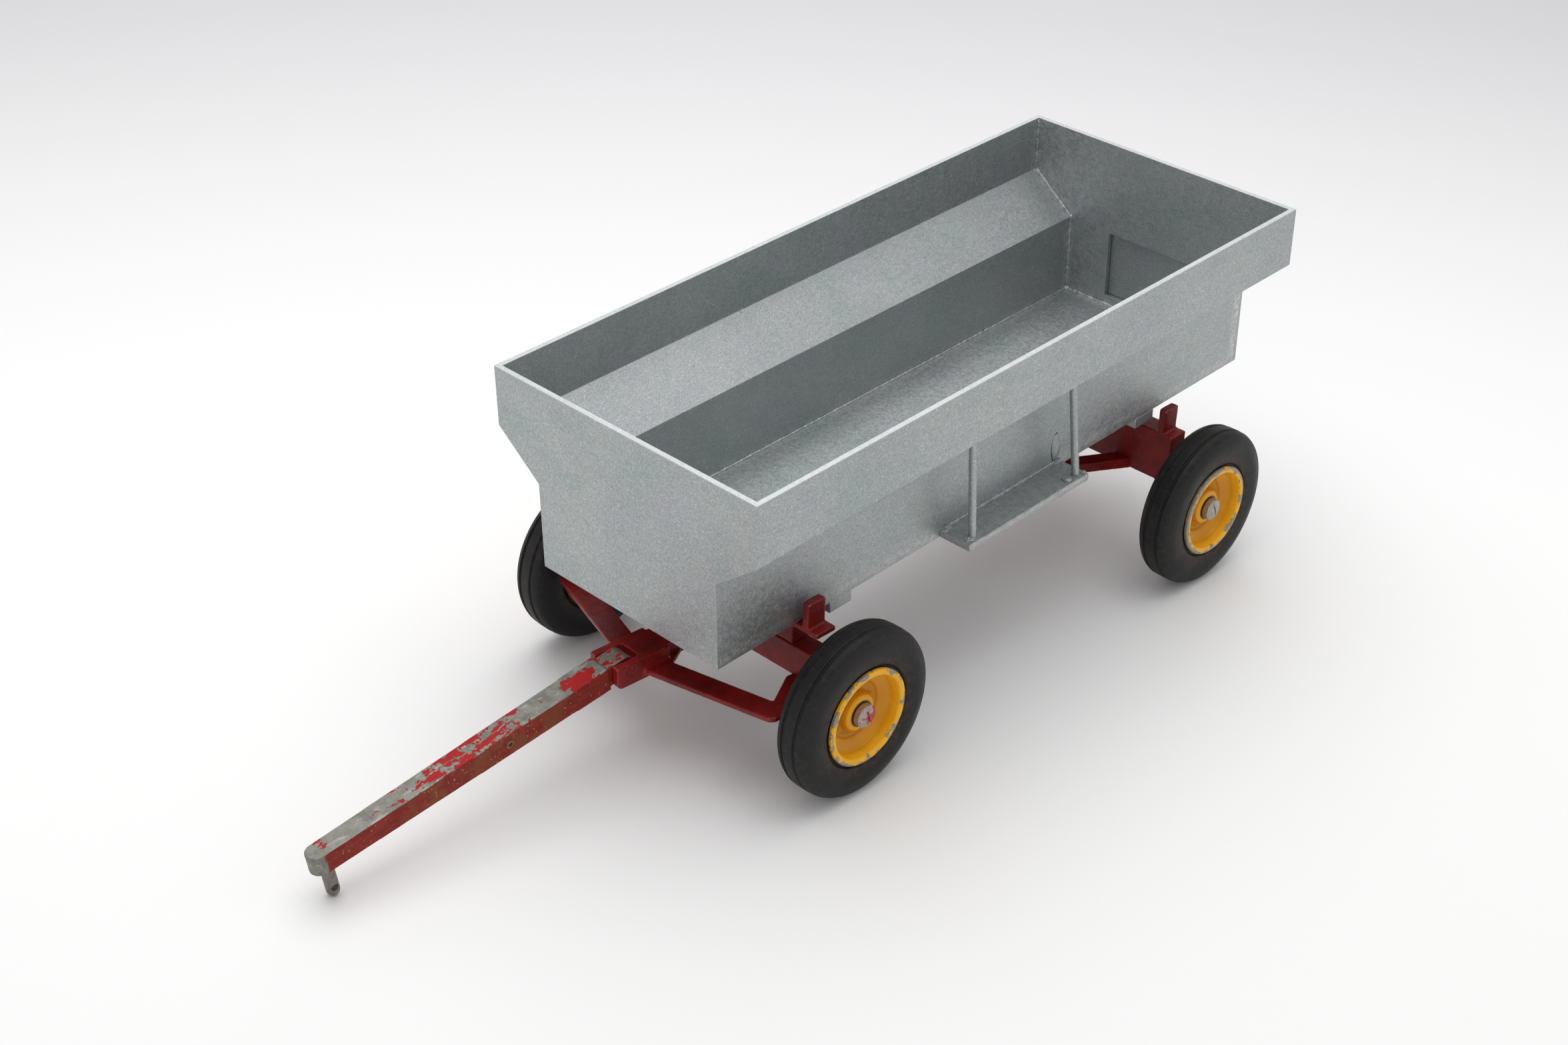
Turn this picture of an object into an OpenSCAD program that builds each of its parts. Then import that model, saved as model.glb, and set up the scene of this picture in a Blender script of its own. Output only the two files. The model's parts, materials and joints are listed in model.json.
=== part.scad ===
// Toy gravity wagon: silver grain box on a red four-wheel running gear.
// Millimetres. +Z up, -Y is the way it is towed, +X is the wagon's left side.
// Origin: on the ground, at the middle of the overall length and width.

/* [Grain box] */
// Outside length of the box
box_len = 254; // [230:1:280]
// Outside width across the top rim
rim_w = 111.4; // [104:0.2:118]
// Outside width across the floor
floor_w = 76.8; // [70:0.2:77.6]
// Height of the upright band under the rim
band_h = 20.7; // [15:0.1:26]
// Height of the sloping part
slope_h = 13.7; // [10:0.1:18]
// Height of the lower upright wall
wall_h = 30; // [26:0.5:36]
// Thickness of the box sheets
sheet_t = 1.8; // [1.2:0.1:2.4]
// Nose-down lean of the box on the gear, in degrees
box_lean = 2.64; // [1.5:0.02:2.8]
// Depth of the two cross sills, front to back
sill_d = 9.8; // [6:0.1:9.8]

/* [Rear gate] */
// Width of the discharge opening
gate_w = 38; // [30:1:40]
// Height of the discharge opening
gate_h = 25; // [18:1:26]
// Height of the opening's lower edge over the underside of the box
gate_sill = 5.2; // [5:0.1:7]

/* [Side tray] */
// Length of the tray on the left side
tray_len = 59; // [50:1:70]
// How far the tray stands out from the wall
tray_w = 12.6; // [11.5:0.1:15]
// Radius of the two hanger rods
rod_r = 1.1; // [0.8:0.1:1.3]
// Lean of the rear hanger rod, in degrees
rod_lean = 7; // [0:0.5:8]

/* [Wheels] */
// Radius of the tyres
tyre_r = 28.2; // [27.5:0.1:28.6]
// Width of a tyre
tyre_w = 13.2; // [12:0.1:13.3]
// Distance between the middles of the left and right tyres
track = 118; // [117:0.5:124]
// Distance between the two axles
wheelbase = 174.4; // [172:0.2:180]
// Radius of the wheel axles
axle_r = 2; // [1.6:0.1:2.2]
// Radial running clearance of the wheels, kingpin and tongue pin
run_gap = 0.1; // [0.05:0.01:0.1]

/* [Running gear] */
// Front-to-back depth of the axle beams
beam_d = 8; // [6:0.5:8]
// Radius of the kingpin
king_r = 2.5; // [2:0.1:3]
// Width of the reach between the axles
reach_w = 8; // [6:0.5:10]

/* [Tongue] */
// Turn of the yoke and tongue on the front axle, in degrees seen from above
yoke_turn = -2.8; // [-3:0.1:3]
// Tongue length from its hinge to the rounded tip
tongue_len = 113.5; // [100:0.5:125]
// Droop of the tongue below level, in degrees
tongue_droop = 9.6; // [8:0.1:10.5]
// Radius of the hitch pin
hitch_r = 2.1; // [1.8:0.1:2.5]
// Radius of the tongue hinge pin
hinge_r = 1.5; // [1.2:0.1:1.7]

/* [Hidden] */
$fn = 72;

// Colours
silver = [0.66, 0.69, 0.69];
red = [0.45, 0.07, 0.07];
zinc = [0.52, 0.51, 0.47];
rubber = [0.10, 0.10, 0.11];
yellow = [0.86, 0.60, 0.10];

// Heights over the ground
beam_z0 = 31.5;
beam_z1 = 42;
reach_z0 = 42.3;
reach_z1 = 46.9;
ledge_z0 = 48.7;
ledge_z1 = 50.5;
post_z1 = 59.5;
post_d = 7.4;
box_z = 55.1;
hinge_z = 32.9;
reach_low_z0 = 32.3;
reach_low_z1 = 37;

// Places along the wagon, from the middle of the box
axle_front_y = -90.2;
axle_rear_y = axle_front_y + wheelbase;
sill_y = 75.1;
hinge_y = -129.5;

// Sideways sizes
post_x0 = 40.6;
post_x1 = 43.4;
ledge_x = 47.2;
web_x0 = 7.4;
web_x1 = 37;
lug_x0 = 42;
lug_x1 = 51.9;
track_x = track / 2;

// Box section
box_h = wall_h + slope_h + band_h;
slope_run = (rim_w - floor_w) / 2;
bend = atan(slope_run / slope_h);
fold = sheet_t * tan(bend / 2);
floor_x = floor_w / 2;
rim_x = rim_w / 2;

// Gate
gate_t = 1.5;
gate_gap = 0.3;
gate_lap = 3;
gate_y0 = box_len / 2 + gate_gap;
gate_y1 = gate_y0 + gate_t;
gate_x = gate_w / 2 + gate_lap;
gate_z0 = gate_sill - 2;
gate_z1 = gate_sill + gate_h + gate_lap;
gate_travel = gate_h + 2;
guide_z1 = gate_z1 + gate_travel + 0.5;
guide_y1 = gate_y1 + gate_gap + 1.2;
handle_out = 6;
handle_z = gate_z0 + 16;
handle_r = 1.1;

// Tray
tray_z0 = 0;
tray_z1 = 2.6;
tray_y = -0.6;
rod_x = floor_x + 9.7;

// Tongue
tongue_half_root = 4.3;
tongue_half_tip = 3.5;
tongue_t_root = 8;
tongue_t_tip = 6.8;
tang_half = 3.6;
tang_t = 7;
shoulder = 6.8;
tip_len = tongue_len - tongue_half_tip;
hitch_y = -(tongue_len - 5);

// Yoke
yoke_half = 6.6;
yoke_slot = 3.9;
yoke_front = hinge_y - 5.6;
yoke_back = -114.5;
yoke_z0 = hinge_z - 4.9;
yoke_z1 = hinge_z + 2.9;
yoke_round = 2.4;
plate_z0 = 29.7;
plate_z1 = beam_z0;

// Hitch pin reach below the tongue's centreline, so that its end stands on the ground
pin_drop = (hinge_z + hitch_y * sin(tongue_droop)) / cos(tongue_droop);
clip_r = 1.15;
clip_z = 3.7 - pin_drop;

// Overall length, to centre the part on the origin
yoke_reach = (axle_front_y - hinge_y + tongue_len * cos(tongue_droop)
    + tongue_t_tip / 2 * sin(tongue_droop)) * cos(yoke_turn);
front_reach = yoke_reach - axle_front_y;
rear_reach = (gate_y1 + handle_out) * cos(box_lean) - (handle_z - handle_r) * sin(box_lean);
mid_y = (front_reach - rear_reach) / 2;

// ---------- placing ----------

module on_gear() {
    translate([0, mid_y, 0]) children();
}

module on_box() {
    on_gear() translate([0, 0, box_z]) rotate([box_lean, 0, 0]) children();
}

// Yoke and tongue, turned about the kingpin
module on_yoke() {
    on_gear() translate([0, axle_front_y, 0]) rotate([0, 0, yoke_turn])
        translate([0, -axle_front_y, 0]) children();
}

module on_tongue() {
    on_yoke() translate([0, hinge_y, hinge_z]) rotate([tongue_droop, 0, 0]) children();
}

// Wheel frame: +Z of the child runs outward along the axle
module on_wheel(side, y) {
    on_gear() translate([side * track_x, y, tyre_r]) rotate([0, side * 90, 0]) children();
}

// Everything under the sloping underside of the box
module under_box() {
    translate([0, 0, box_z]) rotate([box_lean, 0, 0])
        translate([-100, -200, -100]) cube([200, 400, 100]);
}

module block(x0, x1, y0, y1, z0, z1) {
    translate([x0, y0, z0]) cube([x1 - x0, y1 - y0, z1 - z0]);
}

// ---------- grain box ----------

module side_profile() {
    polygon([
        [floor_x, 0],
        [floor_x, wall_h],
        [rim_x, wall_h + slope_h],
        [rim_x, box_h],
        [rim_x - sheet_t, box_h],
        [rim_x - sheet_t, wall_h + slope_h + fold],
        [floor_x - sheet_t, wall_h + fold],
        [floor_x - sheet_t, 0]
    ]);
}

module side_sheet() {
    rotate([90, 0, 0]) linear_extrude(height = box_len, center = true) side_profile();
}

module side_sheet_left() {
    color(silver) on_box() side_sheet();
}

module side_sheet_right() {
    color(silver) on_box() mirror([1, 0, 0]) side_sheet();
}

module floor_sheet() {
    half_y = box_len / 2 - sheet_t;
    half_x = floor_x - sheet_t;
    color(silver) on_box() block(-half_x, half_x, -half_y, half_y, 0, sheet_t);
}

// Outline of an end panel, which stands between the two side sheets
module end_profile() {
    polygon([
        [floor_x - sheet_t, 0],
        [floor_x - sheet_t, wall_h + fold],
        [rim_x - sheet_t, wall_h + slope_h + fold],
        [rim_x - sheet_t, box_h],
        [sheet_t - rim_x, box_h],
        [sheet_t - rim_x, wall_h + slope_h + fold],
        [sheet_t - floor_x, wall_h + fold],
        [sheet_t - floor_x, 0]
    ]);
}

module end_panel_front() {
    color(silver) on_box() translate([0, sheet_t - box_len / 2, 0])
        rotate([90, 0, 0]) linear_extrude(height = sheet_t) end_profile();
}

module end_panel_rear() {
    color(silver) on_box() translate([0, box_len / 2, 0]) rotate([90, 0, 0])
        linear_extrude(height = sheet_t) difference() {
            end_profile();
            translate([-gate_w / 2, gate_sill]) square([gate_w, gate_h]);
        }
}

module sill(y) {
    block(-floor_x, floor_x, y - sill_d / 2, y + sill_d / 2, -4, 0);
}

module sill_front() {
    color(silver) on_box() sill(-sill_y);
}

module sill_rear() {
    color(silver) on_box() sill(sill_y);
}

// ---------- side tray and its hanger rods ----------

module tray() {
    color(silver) on_box()
        block(floor_x, floor_x + tray_w, tray_y - tray_len / 2, tray_y + tray_len / 2, tray_z0, tray_z1);
}

// Space above the sloping side sheet, used to end the rods on it
module over_slope() {
    translate([floor_x, 0, wall_h]) rotate([0, bend - 90, 0])
        translate([-20, -100, 0]) cube([60, 200, 40]);
}

module hanger_rod(y, lean) {
    difference() {
        translate([rod_x, y, tray_z1]) rotate([lean, 0, 0])
            translate([0, 0, -2]) cylinder(r = rod_r, h = 50);
        over_slope();
        block(30, 70, -100, 100, tray_z1 - 10, tray_z1);
    }
}

module rod_front() {
    color(silver) on_box() hanger_rod(-25.8, rod_lean / 3);
}

module rod_rear() {
    color(silver) on_box() hanger_rod(25.3, rod_lean);
}

// ---------- rear gate ----------

module guide() {
    lip_x = gate_x + gate_gap;
    block(lip_x, lip_x + 2.6, box_len / 2, guide_y1, gate_z0 - 1.8, guide_z1);
    block(lip_x - 2.2, lip_x, gate_y1 + gate_gap, guide_y1, gate_z0 - 1.8, guide_z1);
}

module gate_guide_left() {
    color(silver) on_box() guide();
}

module gate_guide_right() {
    color(silver) on_box() mirror([1, 0, 0]) guide();
}

module gate_stop() {
    half = gate_x + gate_gap;
    color(silver) on_box()
        block(-half, half, box_len / 2, gate_y1 + gate_gap, gate_z0 - 1.8, gate_z0 - gate_gap);
}

module gate_plate() {
    color(silver) on_box() block(-gate_x, gate_x, gate_y0, gate_y1, gate_z0, gate_z1);
}

module gate_handle() {
    reach_out = handle_out - handle_r;
    color(silver) on_box() translate([0, gate_y1, handle_z]) {
        for (x = [-8, 8])
            translate([x, 0, 0]) rotate([-90, 0, 0]) cylinder(r = handle_r, h = reach_out);
        translate([-8, reach_out, 0]) rotate([0, 90, 0]) cylinder(r = handle_r, h = 16);
        for (x = [-8, 8])
            translate([x, reach_out, 0]) sphere(r = handle_r);
    }
}

// ---------- frame that the box stands on ----------

// Stake posts that keep the box from sliding sideways, rounded at the top
module posts(y) {
    y0 = y - beam_d / 2;
    round_r = 1;
    for (side = [0, 1])
        mirror([side, 0, 0]) translate([post_x0, y0, 0]) rotate([90, 0, 90])
            linear_extrude(height = post_x1 - post_x0) {
                translate([0, ledge_z1]) square([post_d, post_z1 - round_r - ledge_z1]);
                translate([round_r, ledge_z1]) square([post_d - 2 * round_r, post_z1 - ledge_z1]);
                for (edge = [round_r, post_d - round_r])
                    translate([edge, post_z1 - round_r]) circle(r = round_r);
            }
}

module posts_front() {
    color(red) on_gear() posts(axle_front_y);
}

module posts_rear() {
    color(red) on_gear() posts(axle_rear_y);
}

module bolster_front() {
    y = axle_front_y;
    color(red) on_gear() difference() {
        union() {
            block(-ledge_x, ledge_x, y - beam_d / 2, y + beam_d / 2, ledge_z0, ledge_z1);
            translate([0, y, reach_z1]) cylinder(r = 7, h = ledge_z0 - reach_z1);
            for (side = [0, 1])
                mirror([side, 0, 0])
                    block(web_x0, web_x1, y - beam_d / 2, y + beam_d / 2, reach_z0, ledge_z0);
        }
        translate([0, y, reach_z1 - 5]) cylinder(r = king_r, h = 20);
    }
}

// Shaped pads between the level bolsters and the leaning box
module saddle_pad(y, half_x) {
    intersection() {
        block(-half_x, half_x, y - beam_d / 2, y + beam_d / 2, ledge_z1, ledge_z1 + 12);
        under_box();
    }
}

module saddle_front() {
    color(red) on_gear() saddle_pad(axle_front_y, 36);
}

module saddle_rear() {
    color(red) on_gear() saddle_pad(axle_rear_y, 24);
}

module kingpin() {
    color(zinc) on_gear() translate([0, axle_front_y, 0]) {
        translate([0, 0, plate_z0 - 0.3]) cylinder(r = king_r, h = ledge_z1 - plate_z0 + 0.3);
        translate([0, 0, plate_z0 - 2.3]) cylinder(r = king_r + 2, h = 2);
    }
}

module reach() {
    half = reach_w / 2;
    y = axle_front_y;
    web_y = axle_rear_y - beam_d / 2;
    color(red) on_gear() difference() {
        union() {
            translate([0, y, reach_z0]) cylinder(r = 7, h = reach_z1 - reach_z0);
            block(-half, half, y, y + 30, reach_z0, reach_z1);
            block(-half, half, y + 26, y + 30, reach_low_z0, reach_z0);
            block(-half, half, y + 30, web_y, reach_low_z0, reach_low_z1);
            block(-half, half, y + 30, y + 34, reach_low_z1, reach_z1);
        }
        translate([0, y, reach_z0 - 5]) cylinder(r = king_r, h = 20);
    }
}

module hound() {
    half = reach_w / 2;
    web_y = axle_rear_y - beam_d / 2;
    steep = 1.72;
    color(red) on_gear() translate([0, 0, reach_low_z0]) linear_extrude(height = 3.6) polygon([
        [31.4, web_y],
        [24.4, web_y],
        [half, web_y - steep * (24.4 - half)],
        [half, web_y - steep * (31.4 - half)]
    ]);
}

module hound_left() {
    hound();
}

module hound_right() {
    mirror([1, 0, 0]) hound();
}

// Lugs under the ends of a beam that carry the wheel axles
module lugs(y, z_top) {
    for (side = [0, 1])
        mirror([side, 0, 0]) difference() {
            union() {
                translate([lug_x0, y, tyre_r]) rotate([0, 90, 0])
                    cylinder(r = beam_d / 2, h = lug_x1 - lug_x0);
                block(lug_x0, ledge_x, y - beam_d / 2, y + beam_d / 2, tyre_r, z_top);
            }
            block(lug_x0 - 1, ledge_x, y - beam_d, y + beam_d, z_top, z_top + beam_d);
            translate([lug_x0 + 1, y, tyre_r]) rotate([0, 90, 0]) cylinder(r = axle_r, h = 20);
        }
}

module lugs_front() {
    color(red) on_gear() lugs(axle_front_y, beam_z0);
}

module lugs_rear() {
    color(red) on_gear() lugs(axle_rear_y, reach_low_z0);
}

module bolster_rear() {
    y = axle_rear_y;
    color(red) on_gear()
        block(-ledge_x, ledge_x, y - beam_d / 2, y + beam_d / 2, reach_low_z0, ledge_z1);
}

// ---------- wheel axles ----------

module axle_pin() {
    inner = lug_x0 + 1 - track_x;
    difference() {
        union() {
            translate([0, 0, inner]) cylinder(r = axle_r, h = 3.8 - inner);
            intersection() {
                translate([0, 0, 3.8]) cylinder(r = 3.8, h = 3);
                translate([0, 0, 3.8 + 2.8 - 9]) sphere(r = 9);
            }
        }
        translate([-5, -0.3, 6.1]) cube([10, 0.6, 2]);
    }
}

module axle_pins(y) {
    for (side = [-1, 1])
        on_wheel(side, y) rotate([0, 0, side * 20]) axle_pin();
}

module axle_pins_front() {
    color(zinc) axle_pins(axle_front_y);
}

module axle_pins_rear() {
    color(zinc) axle_pins(axle_rear_y);
}

// ---------- steered front axle ----------

module beam_front() {
    y = axle_front_y;
    color(red) on_gear() difference() {
        block(-ledge_x, ledge_x, y - beam_d / 2, y + beam_d / 2, beam_z0, beam_z1);
        translate([0, y, beam_z0 - 5]) cylinder(r = king_r + run_gap, h = 40);
    }
}

// Plan of one swept arm, its leg back to the beam, and half of the neck
module arm_plan() {
    y = axle_front_y;
    polygon([
        [0, -121],
        [0, y + 4],
        [4.8, y + 4],
        [4.8, -108.5],
        [9, -115.4],
        [43.8, -105.9],
        [36.8, y - beam_d / 2],
        [36.8, y + 4],
        [40.8, y + 4],
        [40.8, y - beam_d / 2 - 1.2],
        [50.5, -105.5],
        [51, -111],
        [49.8, -112.8],
        [48.6, -113.3],
        [8, -124.4],
        [4, -125]
    ]);
}

// Block for the tongue hinge, rounded along its lower front edge
module yoke_block() {
    y = yoke_front + yoke_round;
    z = yoke_z0 + yoke_round;
    block(-yoke_half, yoke_half, y, yoke_back, yoke_z0, yoke_z1);
    block(-yoke_half, yoke_half, yoke_front, y, z, yoke_z1);
    translate([-yoke_half, y, z]) rotate([0, 90, 0]) cylinder(r = yoke_round, h = 2 * yoke_half);
}

module steering_casting() {
    color(red) on_yoke() difference() {
        union() {
            for (side = [0, 1])
                mirror([side, 0, 0])
                    translate([0, 0, plate_z0]) linear_extrude(height = plate_z1 - plate_z0) arm_plan();
            yoke_block();
            block(-4.8, 4.8, yoke_back, axle_front_y - beam_d / 2 - 0.3, plate_z0, yoke_z1);
            translate([0, -123.5, yoke_z0 - 1]) cylinder(r = 4.5, h = 3);
        }
        block(-yoke_slot, yoke_slot, yoke_front - 5, hinge_y + 4.6, yoke_z0 - 5, yoke_z1 + 5);
        translate([-10, hinge_y, hinge_z]) rotate([0, 90, 0]) cylinder(r = hinge_r, h = 20);
        translate([0, axle_front_y, 0]) cylinder(r = king_r + run_gap, h = 60);
    }
}

module tongue_pin() {
    color(red) on_yoke() translate([-yoke_half, hinge_y, hinge_z])
        rotate([0, 90, 0]) cylinder(r = hinge_r, h = 2 * yoke_half);
}

// ---------- tongue ----------

module tongue_plan() {
    polygon([
        [-tongue_half_root, -shoulder],
        [tongue_half_root, -shoulder],
        [tongue_half_tip, -tip_len],
        [-tongue_half_tip, -tip_len]
    ]);
    translate([0, -tip_len]) circle(r = tongue_half_tip);
}

module tongue_side() {
    polygon([
        [-shoulder, -tongue_t_root / 2],
        [-shoulder, tongue_t_root / 2],
        [-tongue_len - 1, tongue_t_tip / 2],
        [-tongue_len - 1, -tongue_t_tip / 2]
    ]);
}

// The tapered bar, without its tang
module tongue_bar() {
    intersection() {
        translate([0, 0, -10]) linear_extrude(height = 20) tongue_plan();
        rotate([90, 0, 90]) linear_extrude(height = 30, center = true) tongue_side();
    }
}

module tongue() {
    color(red) on_tongue() difference() {
        union() {
            tongue_bar();
            block(-tang_half, tang_half, -shoulder, 0, -tang_t / 2, tang_t / 2);
            rotate([0, 90, 0]) cylinder(r = tang_t / 2, h = 2 * tang_half, center = true);
        }
        rotate([0, 90, 0]) cylinder(r = hinge_r + run_gap, h = 20, center = true);
    }
}

// Stands on the underside of the bar
module hitch_pin() {
    color(zinc) on_tongue() difference() {
        translate([0, hitch_y, hitch_r - pin_drop]) {
            cylinder(r = hitch_r, h = pin_drop - hitch_r);
            sphere(r = hitch_r);
        }
        translate([0, hitch_y, clip_z]) rotate([0, 90, 0]) cylinder(r = clip_r, h = 10, center = true);
        tongue_bar();
    }
}

// ---------- wheels ----------

module tyre_profile() {
    half = tyre_w / 2;
    shoulder_r = 4.4;
    difference() {
        union() {
            translate([14.8, -5.3]) square([8, 10.6]);
            translate([18, -half]) square([tyre_r - shoulder_r - 18, tyre_w]);
            translate([18, shoulder_r - half]) square([tyre_r - 18, tyre_w - 2 * shoulder_r]);
            for (s = [-1, 1]) {
                translate([tyre_r - shoulder_r, s * (half - shoulder_r)]) circle(r = shoulder_r);
                translate([18.4, s * (half - 1.6)]) circle(r = 1.6);
            }
        }
        for (s = [-1, 1])
            translate([tyre_r - 0.8, s * 2.4 - 0.4]) square([2, 0.8]);
    }
}

module tyre(side, y) {
    color(rubber) on_wheel(side, y) rotate_extrude($fn = 144) tyre_profile();
}

module tyre_front_left() {
    tyre(1, axle_front_y);
}

module tyre_front_right() {
    tyre(-1, axle_front_y);
}

module tyre_rear_left() {
    tyre(1, axle_rear_y);
}

module tyre_rear_right() {
    tyre(-1, axle_rear_y);
}

module rim_profile() {
    bore = axle_r + run_gap;
    polygon([
        [bore, -6.6],
        [6, -6.6],
        [6, -2],
        [12.4, -2],
        [12.8, -5.4],
        [12.8, -6.4],
        [16.2, -6.4],
        [16.2, -5.4],
        [14.8, -5.4],
        [14.8, 5.4],
        [16.2, 5.4],
        [16.2, 6.2],
        [15.7, 6.7],
        [14.4, 6.7],
        [13.8, 6.2],
        [13.3, 2.6],
        [9.6, 1.2],
        [9.2, 0.2],
        [6.6, 0.2],
        [6, 3],
        [4.6, 3.5],
        [bore, 3.5]
    ]);
}

module rim(side, y) {
    color(yellow) on_wheel(side, y) rotate_extrude($fn = 96) rim_profile();
}

module rim_front_left() {
    rim(1, axle_front_y);
}

module rim_front_right() {
    rim(-1, axle_front_y);
}

module rim_rear_left() {
    rim(1, axle_rear_y);
}

module rim_rear_right() {
    rim(-1, axle_rear_y);
}

// ---------- drawing ----------
floor_sheet();
side_sheet_left();
side_sheet_right();
end_panel_front();
end_panel_rear();
sill_front();
sill_rear();
tray();
rod_front();
rod_rear();
gate_guide_left();
gate_guide_right();
gate_stop();
gate_plate();
gate_handle();
bolster_front();
posts_front();
saddle_front();
kingpin();
reach();
hound_left();
hound_right();
bolster_rear();
posts_rear();
saddle_rear();
lugs_rear();
axle_pins_rear();
beam_front();
lugs_front();
steering_casting();
axle_pins_front();
tongue_pin();
tongue();
hitch_pin();
tyre_front_left();
tyre_front_right();
tyre_rear_left();
tyre_rear_right();
rim_front_left();
rim_front_right();
rim_rear_left();
rim_rear_right();
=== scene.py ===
"""Looks for the toy gravity wagon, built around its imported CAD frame.

Metres, +Z up, -Y towards the tongue, +X the wagon's left side.
Each piece is made in the frame of its part of the wagon (box, gear, yoke, tongue
or wheel), so that the object coordinates which its material reads follow it.
"""
import json
import math

import bmesh
import bpy
from mathutils import Matrix, Vector, noise


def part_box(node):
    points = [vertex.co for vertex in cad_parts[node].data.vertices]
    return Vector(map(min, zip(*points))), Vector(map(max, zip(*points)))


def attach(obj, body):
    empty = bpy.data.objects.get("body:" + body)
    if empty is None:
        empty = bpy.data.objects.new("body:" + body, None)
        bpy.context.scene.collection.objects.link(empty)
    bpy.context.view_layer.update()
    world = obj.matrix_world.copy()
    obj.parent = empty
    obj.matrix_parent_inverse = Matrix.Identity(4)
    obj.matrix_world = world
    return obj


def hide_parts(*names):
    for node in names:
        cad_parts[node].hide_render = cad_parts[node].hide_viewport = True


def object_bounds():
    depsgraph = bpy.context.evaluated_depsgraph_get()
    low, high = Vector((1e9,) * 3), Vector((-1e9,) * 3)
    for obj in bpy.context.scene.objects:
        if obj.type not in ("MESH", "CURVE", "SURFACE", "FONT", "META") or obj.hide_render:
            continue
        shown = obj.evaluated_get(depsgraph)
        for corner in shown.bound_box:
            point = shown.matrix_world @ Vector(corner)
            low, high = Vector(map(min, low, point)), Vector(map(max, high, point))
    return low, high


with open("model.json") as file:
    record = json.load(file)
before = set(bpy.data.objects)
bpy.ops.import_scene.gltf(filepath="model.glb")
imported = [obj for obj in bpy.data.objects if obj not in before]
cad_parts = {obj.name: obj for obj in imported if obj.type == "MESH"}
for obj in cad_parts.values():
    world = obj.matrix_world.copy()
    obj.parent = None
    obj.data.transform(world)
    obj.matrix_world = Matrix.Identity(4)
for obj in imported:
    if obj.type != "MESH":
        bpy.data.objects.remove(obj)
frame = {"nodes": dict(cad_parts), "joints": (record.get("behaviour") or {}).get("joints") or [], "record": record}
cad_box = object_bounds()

MM = 0.001
WELD = 1e-6
UP = Vector((0, 0, 1))

# Camera, from the point on the ground under the kingpin
CAMERA_OFFSET = Vector((0.44636, -0.43800, 0.45102))
CAMERA_FORWARD = Vector((-0.58867, 0.61659, -0.52276))
CAMERA_RIGHT = Vector((0.71171, 0.70197, 0.02651))
CAMERA_LENS = 55.18
SENSOR_WIDTH = 36.0

# Edge roundings of the sheet metal
RIM_ROUND = 0.30 * MM
CORNER_ROUND = 0.45 * MM
BEND_ROUND = 0.60 * MM
INNER_FILLET = 0.75 * MM
SMALL_ROUND = 0.35 * MM

# Voxel sizes of the rounded castings
GEAR_VOXEL = 0.34 * MM
TONGUE_VOXEL = 0.28 * MM
ROD_VOXEL = 0.22 * MM
PIN_VOXEL = 0.18 * MM

# Steps round the turned wheels
TYRE_STEPS = 192
RIM_STEPS = 144

# Extra thickness of the paint that has run down the tray's rods
ROD_COAT = 0.24 * MM

# Faces that turn less than this from each other count as one flat face
FLAT_ANGLE = math.radians(1)

# Studio, in metres and watts
FLOOR_SIZE = 12
WORLD_COLOUR = (1.0, 1.0, 1.0, 1.0)
WORLD_STRENGTH = 0.62
TOP_LIGHT = {"place": (-0.15, 0.10, 0.95), "target": (0, 0, 0), "size": (1.1, 1.1), "power": 7.2}
BACK_LIGHT = {
    "place": (-0.85, 0.90, 0.50), "target": (0, 0, 0.08), "size": (1.4, 0.8), "power": 2.2,
}


# ---------- frames and sizes taken from the CAD ----------

def joint(name):
    return next(j for j in frame["joints"] if j["name"] == name)


def mount(name):
    return next(m for m in frame["record"]["mounts"] if m["name"] == name)


def mm(*sizes):
    return tuple(size * MM for size in sizes)


def axes(x_axis, z_axis, origin):
    """Frame with Z along z_axis and X as near x_axis as it can be."""
    z = Vector(z_axis).normalized()
    x = Vector(x_axis)
    x = (x - x.dot(z) * z).normalized()
    turned = Matrix((x, z.cross(x), z)).transposed().to_4x4()
    turned.translation = Vector(origin)
    return turned


def node_points(node, at):
    inverse = at.inverted()
    return [inverse @ v.co for v in frame["nodes"][node].data.vertices]


def extent(node, at):
    """Lowest and highest corner of a CAD node in the frame at."""
    columns = list(zip(*node_points(node, at)))
    return Vector([min(c) for c in columns]), Vector([max(c) for c in columns])


def box_frame():
    """Frame of the leaning grain box: its origin is the middle of the underside."""
    lo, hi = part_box("floor_sheet")
    tilted = axes((1, 0, 0), joint("gate_lift")["axis"], (lo + hi) / 2)
    floor_lo, _ = extent("floor_sheet", tilted)
    tilted.translation = tilted @ Vector((0, 0, floor_lo.z))
    return tilted


def wheel_frame(corner):
    """Frame at a wheel's centre, with +X pointing outward."""
    centre = Vector(joint("spin_" + corner)["pos_m"])
    return axes((math.copysign(1, centre.x), 0, 0), UP, centre)


PIVOT = Vector(joint("steer")["pos_m"])
BOX = box_frame()
GEAR = Matrix.Translation((0, PIVOT.y, 0))
YOKE_X = -Vector(joint("tongue_lift")["axis"])
YOKE = axes(YOKE_X, UP, (PIVOT.x, PIVOT.y, 0))
TONGUE = axes(YOKE_X, -Vector(mount("hitch_pin")["axis"]), joint("tongue_lift")["pos_m"])
WHEELS = ("front_left", "front_right", "rear_left", "rear_right")


# ---------- node graphs ----------

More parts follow.
